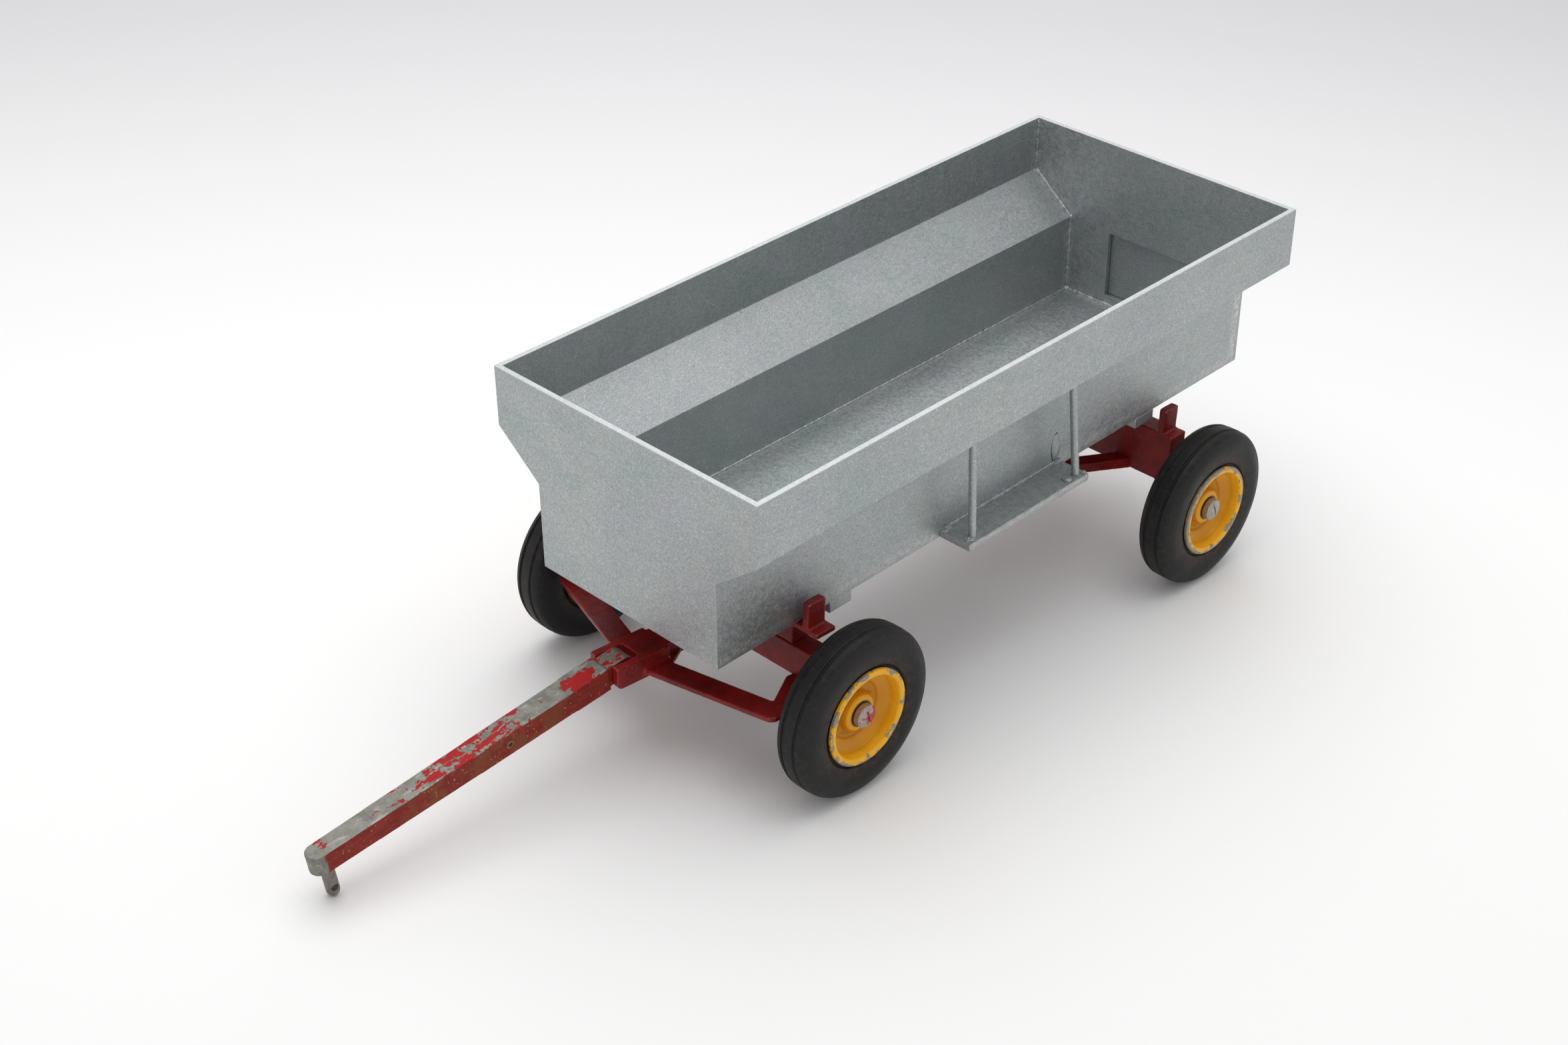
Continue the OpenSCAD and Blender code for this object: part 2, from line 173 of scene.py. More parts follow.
class Graph:
    """Builds one material's nodes around a single Principled shader."""

    def __init__(self, name):
        self.material = bpy.data.materials.new(name)
        self.material.use_nodes = True
        self.tree = self.material.node_tree
        self.tree.nodes.clear()
        output = self.add("ShaderNodeOutputMaterial")
        self.shader = self.add("ShaderNodeBsdfPrincipled")
        self.tree.links.new(self.shader.outputs["BSDF"], output.inputs["Surface"])
        source = self.add("ShaderNodeTexCoord")
        self.place = source.outputs["Object"]
        self.facing = source.outputs["Normal"]

    def add(self, kind, **settings):
        made = self.tree.nodes.new(kind)
        for key, value in settings.items():
            setattr(made, key, value)
        return made

    def feed(self, socket, value):
        if isinstance(value, bpy.types.NodeSocket):
            self.tree.links.new(value, socket)
        elif socket.type == "RGBA" and len(value) == 3:
            socket.default_value = (*value, 1)
        else:
            socket.default_value = value

    def set(self, **values):
        """Shader sockets by name, with _ for a space."""
        for key, value in values.items():
            self.feed(self.shader.inputs[key.replace("_", " ")], value)

    def math(self, operation, a, b=0.0, clamp=False):
        made = self.add("ShaderNodeMath", operation=operation, use_clamp=clamp)
        self.feed(made.inputs[0], a)
        self.feed(made.inputs[1], b)
        return made.outputs[0]

    def split(self, vector):
        made = self.add("ShaderNodeSeparateXYZ")
        self.feed(made.inputs[0], vector)
        return made.outputs

    def stretched(self, x, y, z):
        """The place, with features x, y and z times as long."""
        made = self.add("ShaderNodeMapping", vector_type="TEXTURE")
        self.feed(made.inputs["Vector"], self.place)
        made.inputs["Scale"].default_value = (x, y, z)
        return made.outputs[0]

    def noise(self, size, detail=3.0, rough=0.55, place=None, warp=0.0):
        """Noise whose features are about size metres across."""
        made = self.add("ShaderNodeTexNoise")
        self.feed(made.inputs["Vector"], place or self.place)
        made.inputs["Scale"].default_value = 1 / size
        made.inputs["Detail"].default_value = detail
        made.inputs["Roughness"].default_value = rough
        made.inputs["Distortion"].default_value = warp
        return made.outputs[0]

    def cells(self, size, output="Distance", place=None):
        made = self.add("ShaderNodeTexVoronoi")
        self.feed(made.inputs["Vector"], place or self.place)
        made.inputs["Scale"].default_value = 1 / size
        return made.outputs[output]

    def step(self, value, start, end, low=0.0, high=1.0):
        """Smooth change from low to high as value goes from start to end."""
        made = self.add("ShaderNodeMapRange", interpolation_type="SMOOTHSTEP")
        for socket, number in zip(made.inputs, (value, start, end, low, high)):
            self.feed(socket, number)
        return made.outputs[0]

    def window(self, value, low, high, soft):
        """1 between low and high, fading over soft at both ends."""
        rise = self.step(value, low - soft, low + soft)
        fall = self.step(value, high - soft, high + soft, 1.0, 0.0)
        return self.all_of(rise, fall)

    def mix(self, factor, a, b, blend="MIX"):
        made = self.add("ShaderNodeMix", data_type="RGBA", blend_type=blend)
        self.feed(made.inputs["Factor"], factor)
        self.feed(made.inputs["A"], a)
        self.feed(made.inputs["B"], b)
        return made.outputs["Result"]

    def over(self, colour, mask, amount, paint):
        """Colour with paint laid over it where the mask is, up to amount."""
        return self.mix(self.all_of(mask, amount), colour, paint)

    def between(self, value, dark, light, low=0.3, high=0.7):
        """Colour from dark to light as value goes from low to high."""
        return self.mix(self.step(value, low, high), dark, light)

    def shade(self, colour, value, low, high):
        """Colour times a grey that goes from low to high with value."""
        grey = self.step(value, 0.25, 0.75, low, high)
        joined = self.add("ShaderNodeCombineColor")
        for socket in joined.inputs:
            self.feed(socket, grey)
        return self.mix(1.0, colour, joined.outputs[0], "MULTIPLY")

    def bump(self, *layers):
        """Stacks (height, depth in metres) layers into the normal."""
        normal = None
        for height, depth in layers:
            made = self.add("ShaderNodeBump")
            made.inputs["Distance"].default_value = depth
            self.feed(made.inputs["Height"], height)
            if normal:
                self.feed(made.inputs["Normal"], normal)
            normal = made.outputs[0]
        self.set(Normal=normal)

    def pointiness(self):
        return self.add("ShaderNodeNewGeometry").outputs["Pointiness"]

    def chain(self, operation, values):
        joined = values[0]
        for value in values[1:]:
            joined = self.math(operation, joined, value)
        return joined

    def any_of(self, *masks):
        return self.chain("MAXIMUM", masks)

    def all_of(self, *masks):
        """Product of masks and amounts."""
        return self.chain("MULTIPLY", masks)

    def sum_of(self, *values):
        return self.chain("ADD", values)

    def inverse(self, mask):
        return self.math("SUBTRACT", 1.0, mask)

    def distance(self, a, b):
        """Length of the vector (a, b)."""
        return self.math("SQRT", self.sum_of(self.all_of(a, a), self.all_of(b, b)))


# ---------- colours ----------

SILVER_DARK, SILVER_LIGHT = (0.425, 0.450, 0.455), (0.465, 0.488, 0.486)
SILVER_LILAC, SILVER_GREEN = (0.45, 0.452, 0.50), (0.37, 0.45, 0.44)
SILVER_SPARKLE, SILVER_PIT = (0.88, 0.90, 0.90), (0.14, 0.15, 0.15)
RIM_WEAR_AND_HIGHLIGHT, ROUGH_SOLDER = (0.70, 0.71, 0.71), (0.74, 0.73, 0.72)

WORN_DARK, WORN_LIGHT = (0.23, 0.21, 0.175), (0.42, 0.40, 0.35)
RED_DARK, RED_LIGHT = (0.140, 0.0065, 0.0065), (0.260, 0.0115, 0.0095)
RED_DULL, RED_WORN = (0.12, 0.028, 0.02), (0.30, 0.15, 0.12)

TONGUE_ZINC_DARK, TONGUE_ZINC_LIGHT = (0.160, 0.158, 0.132), (0.262, 0.262, 0.230)
TONGUE_RUBBED = (0.46, 0.44, 0.40)
FLAKE_DARK, FLAKE_LIGHT = (0.33, 0.004, 0.005), (0.42, 0.008, 0.008)
SIDE_DARK, SIDE_LIGHT = (0.195, 0.012, 0.009), (0.255, 0.024, 0.014)
SIDE_RUST, SIDE_NICK = (0.205, 0.060, 0.020), (0.40, 0.33, 0.22)
DENT_EDGE, DENT_FLOOR_PAINTED_SHADE = (0.33, 0.27, 0.17), (0.035, 0.018, 0.012)

ZINC_DARK, ZINC_LIGHT = (0.15, 0.130, 0.105), (0.23, 0.205, 0.17)
ZINC_STAIN = (0.12, 0.085, 0.055)
PINK_STEEL_DARK, PINK_STEEL_LIGHT = (0.34, 0.28, 0.26), (0.46, 0.40, 0.37)
GREY_STEEL_DARK, GREY_STEEL_LIGHT = (0.30, 0.29, 0.26), (0.44, 0.43, 0.39)
AXLE_FLAKE = (0.42, 0.025, 0.02)

RUBBER_DARK, RUBBER_LIGHT = (0.0055, 0.0055, 0.0058), (0.0115, 0.0115, 0.0118)
RUBBER_DUST, RUBBER_RUST = (0.060, 0.042, 0.028), (0.070, 0.030, 0.011)
RUBBER_FLECK = (0.11, 0.10, 0.09)

YELLOW_DARK, YELLOW_LIGHT = (0.84, 0.40, 0.010), (0.90, 0.47, 0.018)
YELLOW_DISH_PAINTED_SHADE, YELLOW_HUB_FOOT_DARK = (0.54, 0.205, 0.004), (0.22, 0.075, 0.006)
RIM_BACK_PAINTED_SHADE, RIM_BORE_PAINTED_SHADE = (0.050, 0.024, 0.008), (0.035, 0.018, 0.008)
RIM_WORN = (0.30, 0.255, 0.165)

PAPER, PAPER_PAINTED_SHADE = (0.880, 0.877, 0.874), (0.600, 0.598, 0.616)


# ---------- materials ----------

def silver_paint():
    """Satin aluminium paint: fine grain, small pits, faint clouds, and a pale rim top that is partly rubbed and
    partly painted highlight.
    """
    g = Graph("silver_paint")
    x, y, z = g.split(g.place)
    speck = g.noise(0.42 * MM, 2, 0.6)
    grain = g.noise(1.3 * MM, 4, 0.65)
    brushed = g.noise(0.7 * MM, 3, 0.6, g.stretched(1, 5, 1))
    tint = g.noise(14 * MM, 3, 0.55, g.stretched(1.7, 1.2, 0.8))
    colour = g.between(g.noise(30 * MM, 3, 0.5), SILVER_DARK, SILVER_LIGHT)
    colour = g.mix(g.step(tint, 0.52, 0.72, 0, 0.5), colour, SILVER_LILAC)
    colour = g.mix(g.step(tint, 0.48, 0.30, 0, 0.5), colour, SILVER_GREEN)
    colour = g.shade(colour, speck, 0.76, 1.14)
    colour = g.shade(colour, grain, 0.90, 1.06)
    colour = g.shade(colour, brushed, 0.94, 1.04)
    sparkle = g.step(g.split(g.cells(0.45 * MM, "Color"))[0], 0.93, 0.97)
    colour = g.over(colour, sparkle, 0.16, SILVER_SPARKLE)
    rare = g.step(g.noise(7 * MM, 3, 0.6), 0.58, 0.70)
    pit = g.all_of(g.step(g.cells(2.6 * MM), 0.14, 0.08), rare)
    colour = g.over(colour, pit, 0.4, SILVER_PIT)
    joints = box_joints(g, x, y, z)
    rough_joint = g.all_of(joints, g.step(g.noise(2.0 * MM, 4, 0.7), 0.38, 0.62))
    colour = g.over(colour, rough_joint, 0.6, ROUGH_SOLDER)
    # The rim's top is painted paler: partly rubbed paint, partly painted highlight where the top light falls.
    top = g.step(z, RIM_Z - 0.5 * MM, RIM_Z - 0.1 * MM)
    rubbed = g.all_of(top, g.step(grain, 0.25, 0.5, 0.6, 1.0))
    colour = g.over(colour, rubbed, 0.40, RIM_WEAR_AND_HIGHLIGHT)
    rough = g.step(grain, 0.3, 0.7, 0.42, 0.56)
    rough = g.math("SUBTRACT", rough, g.all_of(sparkle, 0.10))
    g.set(Base_Color=colour, Roughness=rough, Metallic=0.78)
    lumps = g.all_of(joints, g.noise(1.1 * MM, 3, 0.6))
    g.bump((grain, 0.05 * MM), (speck, 0.03 * MM), (pit, -0.10 * MM), (lumps, 0.35 * MM))
    return g.material


def box_joints(g, x, y, z):
    """Mask beside the soldered corners of the grain box, strongest at the rear panel."""
    across = g.math("ABSOLUTE", x)
    inner = IN_HALF_LENGTH
    rear = g.step(y, inner - 4.5 * MM, inner - 0.5 * MM)
    along = g.step(across, IN_FLOOR_X - 3.5 * MM, IN_FLOOR_X - 0.3 * MM)
    low = g.step(z, INNER_WALL_TOP, INNER_WALL_TOP - 3 * MM)
    foot = g.step(z, SHEET + 3.2 * MM, SHEET + 0.6 * MM)
    right = g.step(x, 0.0, -RIM_X, 0.1, 0.8)
    seam = g.all_of(along, foot, 0.5)
    corner = g.all_of(rear, g.any_of(g.all_of(along, low), foot, right))
    inside = g.all_of(
        g.step(z, 0.0, SHEET),
        g.step(g.math("ABSOLUTE", y), inner + 0.9 * MM, inner),
    )
    return g.all_of(g.any_of(seam, corner), inside)


def worn_metal(g, size):
    """Colour of the bare casting where paint has gone."""
    dull = g.between(g.noise(size, 4, 0.65), WORN_DARK, WORN_LIGHT)
    return g.shade(dull, g.noise(0.3 * MM, 2), 0.85, 1.1)


def red_enamel():
    """Dark red enamel, rubbed through to pinkish metal along proud edges."""
    g = Graph("gear_enamel")
    peel = g.noise(1.1 * MM, 3, 0.55)
    grit = g.noise(0.35 * MM, 2, 0.6)
    paint = g.between(g.noise(9 * MM, 4, 0.6), RED_DARK, RED_LIGHT)
    paint = g.mix(g.step(peel, 0.55, 0.8, 0, 0.4), paint, RED_DULL)
    proud = g.sum_of(g.pointiness(), g.step(grit, 0.2, 0.8, -0.03, 0.03))
    rubbed = g.all_of(
        g.step(proud, 0.545, 0.585),
        g.step(g.noise(3.4 * MM, 4, 0.7), 0.44, 0.53),
    )
    chip = g.all_of(
        g.step(g.noise(0.9 * MM, 3, 0.6), 0.68, 0.71),
        g.step(g.noise(6 * MM, 3, 0.6), 0.5, 0.62),
    )
    bare = g.any_of(rubbed, chip)
    metal = g.mix(0.35, worn_metal(g, 1.2 * MM), RED_WORN)
    g.set(
        Base_Color=g.mix(bare, paint, metal),
        Roughness=g.sum_of(g.step(peel, 0.3, 0.7, 0.30, 0.44), g.all_of(bare, 0.12)),
        Metallic=g.all_of(bare, 0.35),
        Coat_Weight=0.06,
        Coat_Roughness=0.20,
        Specular_IOR_Level=0.32,
    )
    g.bump((peel, 0.05 * MM), (grit, 0.012 * MM), (bare, -0.06 * MM))
    return g.material


def tongue_enamel():
    """Bare zinc on top with islands of bright red left, rust-brown paint on the sides."""
    g = Graph("tongue_enamel")
    x, y, z = g.split(g.place)
    from_hinge = g.all_of(y, -1.0)
    top = g.step(g.split(g.facing)[2], 0.50, 0.72)
    ragged = g.noise(1.3 * MM, 4, 0.7)
    flake = tongue_flakes(g, x, from_hinge, ragged)
    zinc = tongue_zinc(g)
    side = tongue_side(g, from_hinge)
    colour = g.mix(top, side, g.mix(flake, zinc, g.between(ragged, FLAKE_DARK, FLAKE_LIGHT)))
    dent = side_dent(g, from_hinge, z)
    # The dent has no shape of its own: its floor is painted shade, near black, with a paler ring round it.
    colour = g.mix(g.step(dent, 1.4 * MM, 0.8 * MM, 0, 0.6), colour, DENT_EDGE)
    colour = g.mix(g.step(dent, 0.9 * MM, 0.6 * MM), colour, DENT_FLOOR_PAINTED_SHADE)
    tip = g.step(g.sum_of(from_hinge, g.all_of(ragged, 2.5 * MM)), 110.2 * MM, 111.2 * MM)
    colour = g.mix(tip, colour, zinc)
    proud = g.sum_of(g.pointiness(), g.step(ragged, 0.2, 0.8, -0.02, 0.02))
    colour = g.over(colour, g.step(proud, 0.55, 0.59), 0.7, zinc)
    covered = g.any_of(g.all_of(flake, top), g.inverse(top))
    painted = g.all_of(covered, g.inverse(tip))
    g.set(
        Base_Color=colour,
        Roughness=g.step(ragged, 0.25, 0.75, 0.40, 0.54),
        Metallic=g.math("MULTIPLY", g.inverse(painted), 0.45, clamp=True),
        Specular_IOR_Level=0.18,
    )
    g.bump((painted, 0.09 * MM), (ragged, 0.04 * MM), (g.noise(0.4 * MM, 2), 0.012 * MM))
    return g.material


def tongue_zinc(g):
    """Mottled zinc with paler rubbed streaks along the tongue."""
    zinc = g.between(g.noise(5 * MM, 4, 0.6), TONGUE_ZINC_DARK, TONGUE_ZINC_LIGHT)
    zinc = g.shade(zinc, g.noise(0.5 * MM, 3), 0.84, 1.10)
    rubbed = g.step(g.noise(3.0 * MM, 4, 0.65, g.stretched(0.7, 2.2, 1)), 0.56, 0.66)
    return g.over(zinc, rubbed, 0.5, TONGUE_RUBBED)


def tongue_side(g, from_hinge):
    """Streaked red paint of the sides, rusty along the middle and nicked to the metal."""
    streak = g.noise(2.2 * MM, 4, 0.65, g.stretched(1, 3, 0.8))
    side = g.between(streak, SIDE_DARK, SIDE_LIGHT, 0.35, 0.65)
    middle = g.window(from_hinge, 24 * MM, 84 * MM, 9 * MM)
    rust = g.all_of(g.step(g.noise(7 * MM, 4, 0.65), 0.42, 0.56), middle)
    side = g.over(side, rust, 0.8, SIDE_RUST)
    nick = g.all_of(
        g.step(g.noise(0.9 * MM, 3, 0.6), 0.655, 0.68),
        g.step(streak, 0.42, 0.5),
    )
    return g.mix(nick, side, SIDE_NICK)


def side_dent(g, from_hinge, z):
    """Distance from the small cast dent in the middle of the tongue's side."""
    along = g.math("SUBTRACT", from_hinge, 44.5 * MM)
    uneven = g.step(g.noise(1.2 * MM, 2), 0.3, 0.7, -0.3 * MM, 0.3 * MM)
    return g.sum_of(g.distance(along, z), uneven)


def tongue_flakes(g, x, from_hinge, ragged):
    """Where red is left on top: a patch at the root, rows along the middle, a few specks."""
    island = g.noise(3.4 * MM, 3, 0.6, g.stretched(0.75, 1.3, 1.0), 0.25)
    island = g.sum_of(g.all_of(island, 0.72), g.all_of(ragged, 0.28))
    left = g.step(x, -3.4 * MM, -0.6 * MM)

    def zone(start, end, soft, more):
        return g.all_of(g.window(from_hinge, start * MM, end * MM, soft * MM), more)

    likely = g.sum_of(
        island,
        zone(-3, 7, 2, 0.10),
        g.all_of(zone(10, 21, 3.2, 0.24), left),
        zone(36, 46, 4, 0.10),
        zone(47, 76, 5, 0.135),
        zone(77, 91, 4, 0.055),
        zone(105, 108.5, 1.5, 0.06),
    )
    shown = g.step(likely, 0.612, 0.622)
    wander = g.sum_of(x, g.step(g.noise(6 * MM, 2), 0.2, 0.8, -1.2 * MM, 1.2 * MM))
    crack = g.window(wander, -0.55 * MM, -0.2 * MM, 0.12 * MM)
    crack = g.all_of(crack, g.step(from_hinge, 40 * MM, 44 * MM))
    return g.all_of(shown, g.inverse(crack))


def dull_zinc():
    """Dull handled zinc with scratches and brown staining."""
    g = Graph("dull_zinc")
    mottle = g.noise(1.6 * MM, 4, 0.65)
    scratch = g.noise(0.5 * MM, 3, 0.7, g.stretched(1, 6, 1))
    colour = g.between(mottle, ZINC_DARK, ZINC_LIGHT, 0.32, 0.68)
    colour = g.shade(colour, scratch, 0.85, 1.12)
    stain = g.step(g.noise(2.7 * MM, 4, 0.7), 0.55, 0.68)
    g.set(
        Base_Color=g.over(colour, stain, 0.35, ZINC_STAIN),
        Roughness=g.step(scratch, 0.3, 0.7, 0.30, 0.52),
        Metallic=0.3,
    )
    g.bump((mottle, 0.025 * MM), (scratch, 0.01 * MM))
    return g.material


def axle_metal(name, dark, light, flake_from):
    """Turned axle heads with a flake of red on some faces."""
    g = Graph(name)
    mottle = g.noise(0.9 * MM, 4, 0.65)
    ring = g.noise(0.4 * MM, 3, 0.6)
    flake = g.step(g.noise(5.0 * MM, 2, 0.5), flake_from, flake_from + 0.015)
    g.set(
        Base_Color=g.mix(flake, g.between(mottle, dark, light, 0.32, 0.68), AXLE_FLAKE),
        Roughness=g.step(ring, 0.3, 0.7, 0.36, 0.48),
        Metallic=g.step(flake, 0, 1, 0.6, 0.0),
    )
    g.bump((mottle, 0.02 * MM), (flake, 0.05 * MM), (ring, 0.006 * MM))
    return g.material


def tyre_rubber():
    """Old charcoal rubber: soft grey bloom, brown dust, rust beside the rim, pale flecks."""
    g = Graph("tyre_rubber")
    _, y, z = g.split(g.place)
    radius = g.distance(y, z)
    bloom = g.noise(8 * MM, 4, 0.6)
    dust = g.noise(2.4 * MM, 4, 0.7)
    grit = g.noise(0.35 * MM, 3, 0.6)
    colour = g.between(bloom, RUBBER_DARK, RUBBER_LIGHT)
    tread = g.step(radius, 24.5 * MM, 27.4 * MM)
    dusty = g.all_of(g.step(dust, 0.48, 0.72), g.step(tread, 0, 1, 0.35, 0.9))
    colour = g.over(colour, dusty, 0.35, RUBBER_DUST)
    lip = g.all_of(g.window(radius, 16.5 * MM, 20.0 * MM, 1.6 * MM), g.step(dust, 0.40, 0.62))
    colour = g.over(colour, lip, 0.5, RUBBER_RUST)
    fleck = g.step(g.noise(0.5 * MM, 2, 0.5), 0.74, 0.78)
    colour = g.over(colour, fleck, 0.4, RUBBER_FLECK)
    g.set(
        Base_Color=colour,
        Roughness=g.step(bloom, 0.25, 0.75, 0.46, 0.62),
        Specular_IOR_Level=0.30,
    )
    g.bump((dust, 0.035 * MM), (grit, 0.02 * MM))
    return g.material


def rim_enamel(name, wear):
    """Warm yellow enamel, worn to grey metal on the flange, with painted shade in the dish, on the back and in the
    bore, and a darker ring at the hub's foot.
    """
    g = Graph(name)
    x, y, z = g.split(g.place)
    radius = g.distance(y, z)
    peel = g.noise(0.9 * MM, 3, 0.5)
    ragged = g.noise(1.9 * MM, 4, 0.7)
    paint = g.between(g.noise(5 * MM, 3, 0.6), YELLOW_DARK, YELLOW_LIGHT)
    # Painted shade: the dish is coloured darker amber the deeper it lies below the flange.
    paint = g.over(paint, g.step(x, 5.0 * MM, 0.8 * MM), 0.7, YELLOW_DISH_PAINTED_SHADE)
    # A darker, uneven ring round the foot of the hub.
    hub_foot = g.window(radius, 6.6 * MM, 8.6 * MM, 0.8 * MM)
    darker_foot = g.all_of(hub_foot, g.step(ragged, 0.35, 0.60))
    paint = g.over(paint, darker_foot, 0.45, YELLOW_HUB_FOOT_DARK)
    # Painted shade: the rim's back, facing the wagon, is coloured near black.
    paint = g.over(paint, g.step(x, -2.6 * MM, -4.6 * MM), 0.85, RIM_BACK_PAINTED_SHADE)
    # Painted shade: a near-black ring in the bore round the axle pin.
    paint = g.over(paint, g.step(radius, 4.7 * MM, 4.2 * MM), 0.9, RIM_BORE_PAINTED_SHADE)
    flange = g.all_of(g.step(radius, 13.6 * MM, 14.2 * MM), g.step(x, 5.0 * MM, 6.0 * MM))
    lip = g.all_of(g.step(radius, 15.0 * MM, 15.6 * MM), g.step(x, 3.0 * MM, 5.0 * MM))
    chip = g.sum_of(
        g.all_of(g.noise(3.6 * MM, 3, 0.55), 0.8),
        g.all_of(ragged, 0.2),
        g.all_of(flange, wear * 0.55),
        g.all_of(lip, wear * 0.75),
    )
    bare = g.step(chip, 0.665, 0.680)
    metal = g.mix(0.6, worn_metal(g, 1.6 * MM), RIM_WORN)
    g.set(
        Base_Color=g.mix(bare, paint, metal),
        Roughness=g.sum_of(g.step(peel, 0.3, 0.7, 0.28, 0.40), g.all_of(bare, 0.1)),
        Metallic=g.all_of(bare, 0.2),
        Coat_Weight=0.06,
        Coat_Roughness=0.20,
        Specular_IOR_Level=0.25,
    )
    g.bump((peel, 0.03 * MM), (bare, -0.07 * MM))
    return g.material


def floor_paper():
    """Matt white sweep with painted shade: greyer behind the wagon and pale again further off."""
    g = Graph("studio_floor")
    x, y, _ = g.split(g.place)
    # Painted shade: the paper is coloured greyer in a band behind the wagon, where the light falls off.
    behind = g.math("SUBTRACT", g.all_of(y, 0.72), g.all_of(x, 0.69))
    shaded = g.all_of(g.step(behind, 0.02, 0.78), g.step(behind, 2.0, 1.15))
    white = g.mix(shaded, PAPER, PAPER_PAINTED_SHADE)
    g.set(
        Base_Color=g.shade(white, g.noise(0.4, 2), 0.995, 1.0),
        Roughness=g.step(g.noise(0.02, 2), 0.3, 0.7, 0.85, 0.92),
    )
    g.bump((g.noise(0.8 * MM, 2), 0.01 * MM))
    return g.material


# ---------- mesh helpers ----------

def merge_flats(bm):
    bmesh.ops.dissolve_limit(bm, angle_limit=FLAT_ANGLE, verts=bm.verts, edges=bm.edges)


def cad_mesh(nodes, at, merged=False):
    """The CAD nodes' own faces as one bmesh in the frame at, each node welded on its own."""
    joined = bmesh.new()
    for node in nodes:
        part = bmesh.new()
        part.from_mesh(frame["nodes"][node].data)
        bmesh.ops.transform(part, matrix=at.inverted(), verts=part.verts)
        bmesh.ops.remove_doubles(part, verts=part.verts, dist=WELD)
        if merged:
            merge_flats(part)
        held = bpy.data.meshes.new(node + "_held")
        part.to_mesh(held)
        part.free()
        joined.from_mesh(held)
        bpy.data.meshes.remove(held)
    return joined


def piece(name, bm, at, body, material, stands_for=()):
    """Finishes a bmesh, given in the frame at, as a piece that rides on body."""
    bmesh.ops.recalc_face_normals(bm, faces=bm.faces)
    mesh = bpy.data.meshes.new(name)
    bm.to_mesh(mesh)
    bm.free()
    mesh.shade_smooth()
    mesh.materials.append(material)
    made = bpy.data.objects.new(name, mesh)
    bpy.context.scene.collection.objects.link(made)
    made.matrix_world = at
    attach(made, body)
    if stands_for:
        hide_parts(*stands_for)
    return made


def applied(made):
    """Replaces the piece's mesh by what its modifiers make of it."""
    bpy.context.view_layer.update()
    depsgraph = bpy.context.evaluated_depsgraph_get()
    materials = list(made.data.materials)
    mesh = bpy.data.meshes.new_from_object(made.evaluated_get(depsgraph))
    made.modifiers.clear()
    old = made.data
    made.data = mesh
    mesh.name = made.name
    bpy.data.meshes.remove(old)
    mesh.materials.clear()
    for material in materials:
        mesh.materials.append(material)


def rounded(made, width, limit_degrees=30, segments=3):
    """Rounds every edge sharper than the limit and keeps flat faces looking flat."""
    bevel = made.modifiers.new("rounding", "BEVEL")
    bevel.width = width
    bevel.segments = segments
    bevel.limit_method = "ANGLE"
    bevel.angle_limit = math.radians(limit_degrees)
    made.modifiers.new("normals", "WEIGHTED_NORMAL").keep_sharp = True
    applied(made)


def softened(node, at, body, material, width, limit_degrees=30, segments=3):
    """A CAD node as a piece of its own, with its edges rounded."""
    made = piece(node, cad_mesh((node,), at, True), at, body, material, (node,))
    rounded(made, width, limit_degrees, segments)


def rounded_by(made, widths, widest):
    """Rounds each edge by the width that widths(a, b) gives for its two ends."""
    mesh = made.data
    weights = mesh.attributes.new("bevel_weight_edge", "FLOAT", "EDGE")
    for edge in mesh.edges:
        a, b = (mesh.vertices[i].co for i in edge.vertices)
        weights.data[edge.index].value = widths(a, b) / widest
    bevel = made.modifiers.new("rounding", "BEVEL")
    bevel.width = widest
    bevel.segments = 4
    bevel.limit_method = "WEIGHT"
    made.modifiers.new("normals", "WEIGHTED_NORMAL").keep_sharp = True
    applied(made)


def casting(name, nodes, at, body, material, voxel=GEAR_VOXEL, relax=4,
            uneven=0.035 * MM, coat=0.0):
    """One rounded die-casting fused from several CAD nodes of the same body."""
    made = piece(name, cad_mesh(nodes, at), at, body, material, nodes)
    remesh = made.modifiers.new("skin", "REMESH")
    remesh.mode = "VOXEL"
    remesh.voxel_size = voxel
    smooth = made.modifiers.new("relax", "SMOOTH")
    smooth.factor = 0.5
    smooth.iterations = relax
    applied(made)
    vertices = made.data.vertices
    normals = [vertex.normal.copy() for vertex in vertices]
    for vertex, normal in zip(vertices, normals):
        swell = noise.noise(vertex.co / (2.6 * MM)) + 0.5 * noise.noise(vertex.co / (0.9 * MM))
        vertex.co += normal * ((swell - 0.9) * uneven + coat)
    made.data.shade_smooth()


def lathe(profile, steps):
    """Turns a closed outline of (radius, out) points about the X axis."""
    bm = bmesh.new()
    rings = []
    for i in range(steps):
        turn = math.tau * i / steps
        y, z = math.cos(turn), math.sin(turn)
        rings.append([bm.verts.new((out, r * y, r * z)) for r, out in profile])
    for ring, following in zip(rings, rings[1:] + rings[:1]):
        for j in range(len(profile)):
            k = (j + 1) % len(profile)
            bm.faces.new((ring[j], ring[k], following[k], following[j]))
    return bm


def rounded_outline(corners, steps=5):
    """Closed outline with each (radius, out, rounding) corner turned into an arc, in metres."""
    outline = []
    count = len(corners)
    for i, (r, out, rounding) in enumerate(corners):
        here = Vector((r, out))
        before = Vector(corners[i - 1][:2]) - here
        after = Vector(corners[(i + 1) % count][:2]) - here
        if rounding <= 0:
            outline.append(here * MM)
            continue
        reach = min(rounding, before.length * 0.49, after.length * 0.49)
        a, b = here + before.normalized() * reach, here + after.normalized() * reach
        for s in range(steps + 1):
            t = s / steps
            outline.append((a * (1 - t) ** 2 + here * 2 * t * (1 - t) + b * t * t) * MM)
    return [tuple(p) for p in outline]


